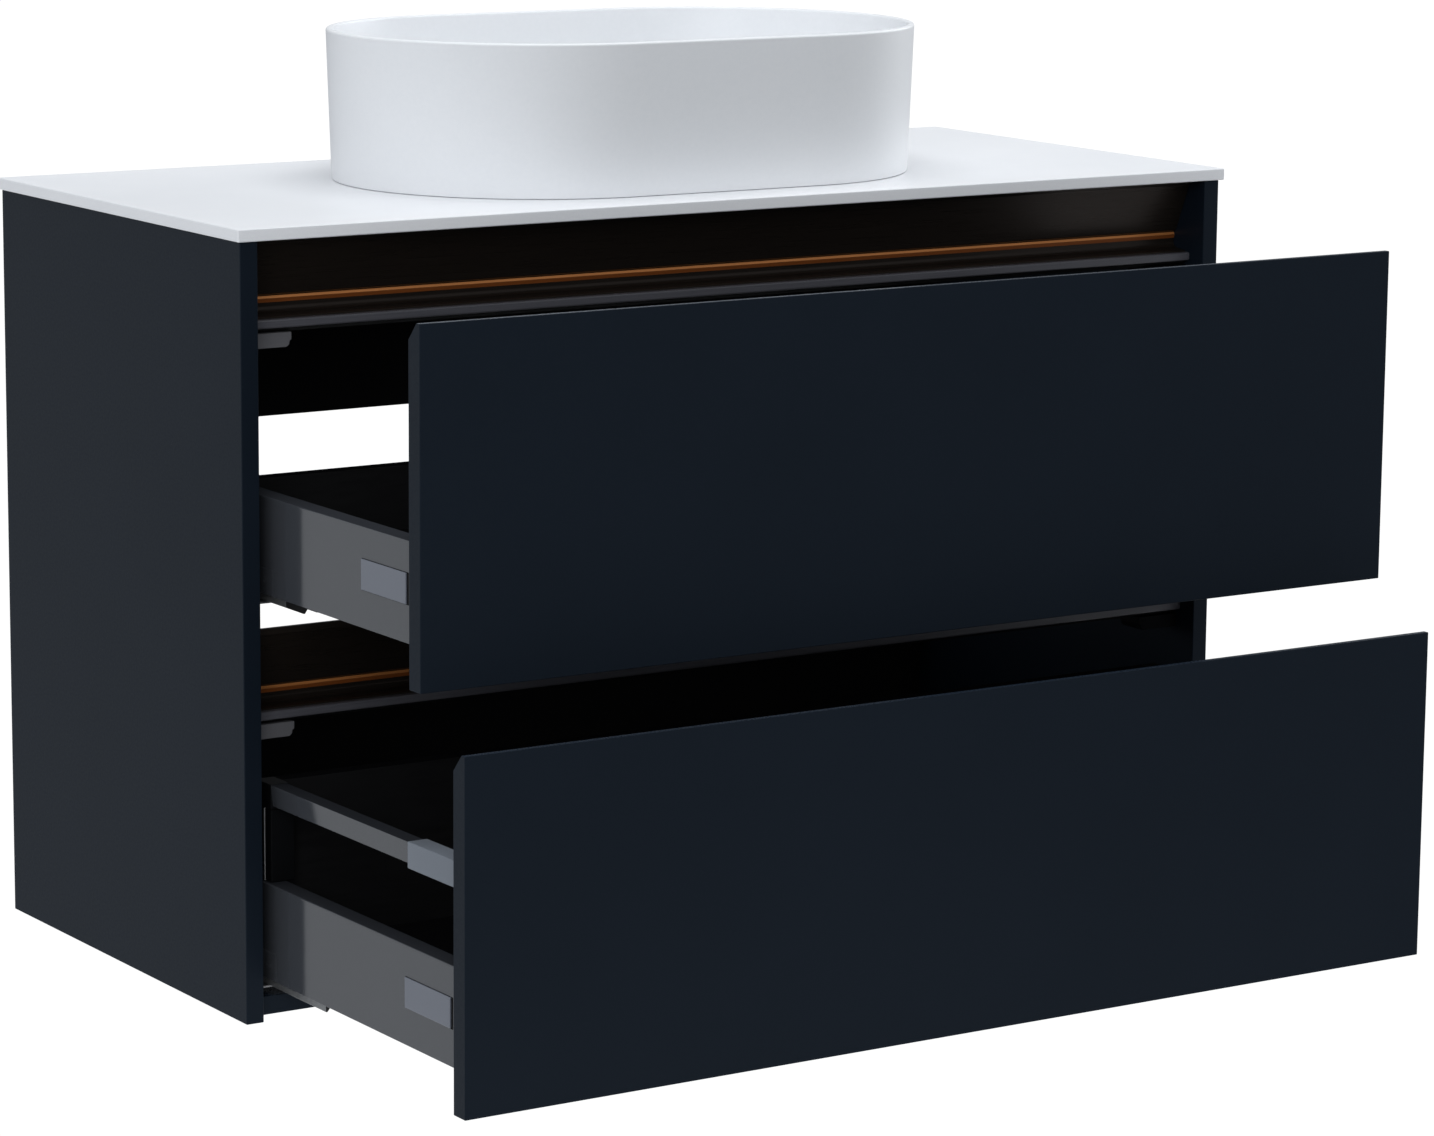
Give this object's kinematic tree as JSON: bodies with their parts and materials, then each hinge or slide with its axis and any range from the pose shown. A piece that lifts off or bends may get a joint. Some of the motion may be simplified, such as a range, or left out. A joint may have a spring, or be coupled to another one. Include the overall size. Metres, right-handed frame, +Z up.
{
  "type": "vessel sink on vanity",
  "caption": "Wall-hung vanity cabinet with an oblong vessel basin on a thin top, handleless drawers in grip channels and metal drawer sides.",
  "frame": {"origin": "centre of the hanging rail's back face, which lies flat on the wall", "axes": "+Z up, +Y into the wall, +X along the unit's width to the right of a person facing it; drawers open along -Y"},
  "size_m": [1.007, 0.7787, 0.7931],
  "materials": {
    "navy_lacquer": "satin lacquer on board",
    "dark_board": "melamine-faced board, fine matt grain",
    "white_stone": "matt mineral surface",
    "white_ceramic": "matt white",
    "black_aluminium": "black anodised, satin",
    "copper_accent": "brushed copper tone",
    "drawer_steel": "grey metallic powder coat",
    "zinc_steel": "zinc plated",
    "grey_plastic": "matt moulded plastic",
    "blue_grey_plastic": "satin moulded plastic",
    "chrome": "polished",
    "black_rubber": "matt"
  },
  "bodies": {
    "cabinet": {"side_panel_left": "navy_lacquer", "wall_hanger_left": "zinc_steel", "side_panel_right": "navy_lacquer", "wall_hanger_right": "zinc_steel", "hanging_rail": "dark_board", "lower_rear_rail": "dark_board", "top_stretcher": "dark_board", "bottom_panel": "navy_lacquer", "grip_channel_upper": "black_aluminium", "accent_strip_upper": "copper_accent", "channel_clip_upper_left": "grey_plastic", "channel_clip_upper_right": "grey_plastic", "grip_channel_lower": "black_aluminium", "accent_strip_lower": "copper_accent", "channel_clip_lower_left": "grey_plastic", "channel_clip_lower_right": "grey_plastic", "countertop": "white_stone", "basin": "white_ceramic", "waste_body": "chrome", "waste_gasket": "black_rubber", "waste_nut": "grey_plastic", "upper_runner_cabinet_left": "zinc_steel", "upper_runner_cabinet_right": "zinc_steel", "lower_runner_cabinet_left": "zinc_steel", "lower_runner_cabinet_right": "zinc_steel"},
    "upper_drawer": {"upper_front": "navy_lacquer", "upper_base": "dark_board", "upper_back": "dark_board", "upper_side_left": "drawer_steel", "upper_front_bracket_left": "zinc_steel", "upper_cover_plate_left": "drawer_steel", "upper_side_right": "drawer_steel", "upper_front_bracket_right": "zinc_steel", "upper_cover_plate_right": "drawer_steel"},
    "upper_runners": {"upper_runner_middle_left": "zinc_steel", "upper_runner_middle_right": "zinc_steel"},
    "lower_drawer": {"lower_front": "navy_lacquer", "lower_base": "dark_board", "lower_back": "dark_board", "lower_side_left": "drawer_steel", "lower_front_bracket_left": "zinc_steel", "lower_cover_plate_left": "drawer_steel", "lower_rail_left": "drawer_steel", "lower_rail_cap_left": "blue_grey_plastic", "lower_rail_socket_left": "blue_grey_plastic", "lower_back_holder_left": "dark_board", "lower_side_right": "drawer_steel", "lower_front_bracket_right": "zinc_steel", "lower_cover_plate_right": "drawer_steel", "lower_rail_right": "drawer_steel", "lower_rail_cap_right": "blue_grey_plastic", "lower_rail_socket_right": "blue_grey_plastic", "lower_back_holder_right": "dark_board"},
    "lower_runners": {"lower_runner_middle_left": "zinc_steel", "lower_runner_middle_right": "zinc_steel"},
    "plug": {"waste_plug": "chrome"}
  },
  "joints": [
    {"name": "upper_drawer_slide", "type": "slide", "parent": "cabinet", "child": "upper_drawer", "axis": [0, -1, 0], "range_m": [-0.2605, 0.0845]},
    {"name": "upper_runner_slide", "type": "slide", "parent": "cabinet", "child": "upper_runners", "axis": [0, -1, 0], "range_m": [-0.13025, 0.04225]},
    {"name": "lower_drawer_slide", "type": "slide", "parent": "cabinet", "child": "lower_drawer", "axis": [0, -1, 0], "range_m": [-0.3287, 0.0163]},
    {"name": "lower_runner_slide", "type": "slide", "parent": "cabinet", "child": "lower_runners", "axis": [0, -1, 0], "range_m": [-0.16435, 0.00815]},
    {"name": "plug_slide", "type": "slide", "parent": "cabinet", "child": "plug", "axis": [0, 0, 1], "range_m": [-0.008, 0], "stiffness_N_per_m": 300, "springref_m": 0.01}
  ],
  "couplings": [
    {"joint": "upper_runner_slide", "follows": "upper_drawer_slide", "ratio": 0.5},
    {"joint": "lower_runner_slide", "follows": "lower_drawer_slide", "ratio": 0.5}
  ]
}
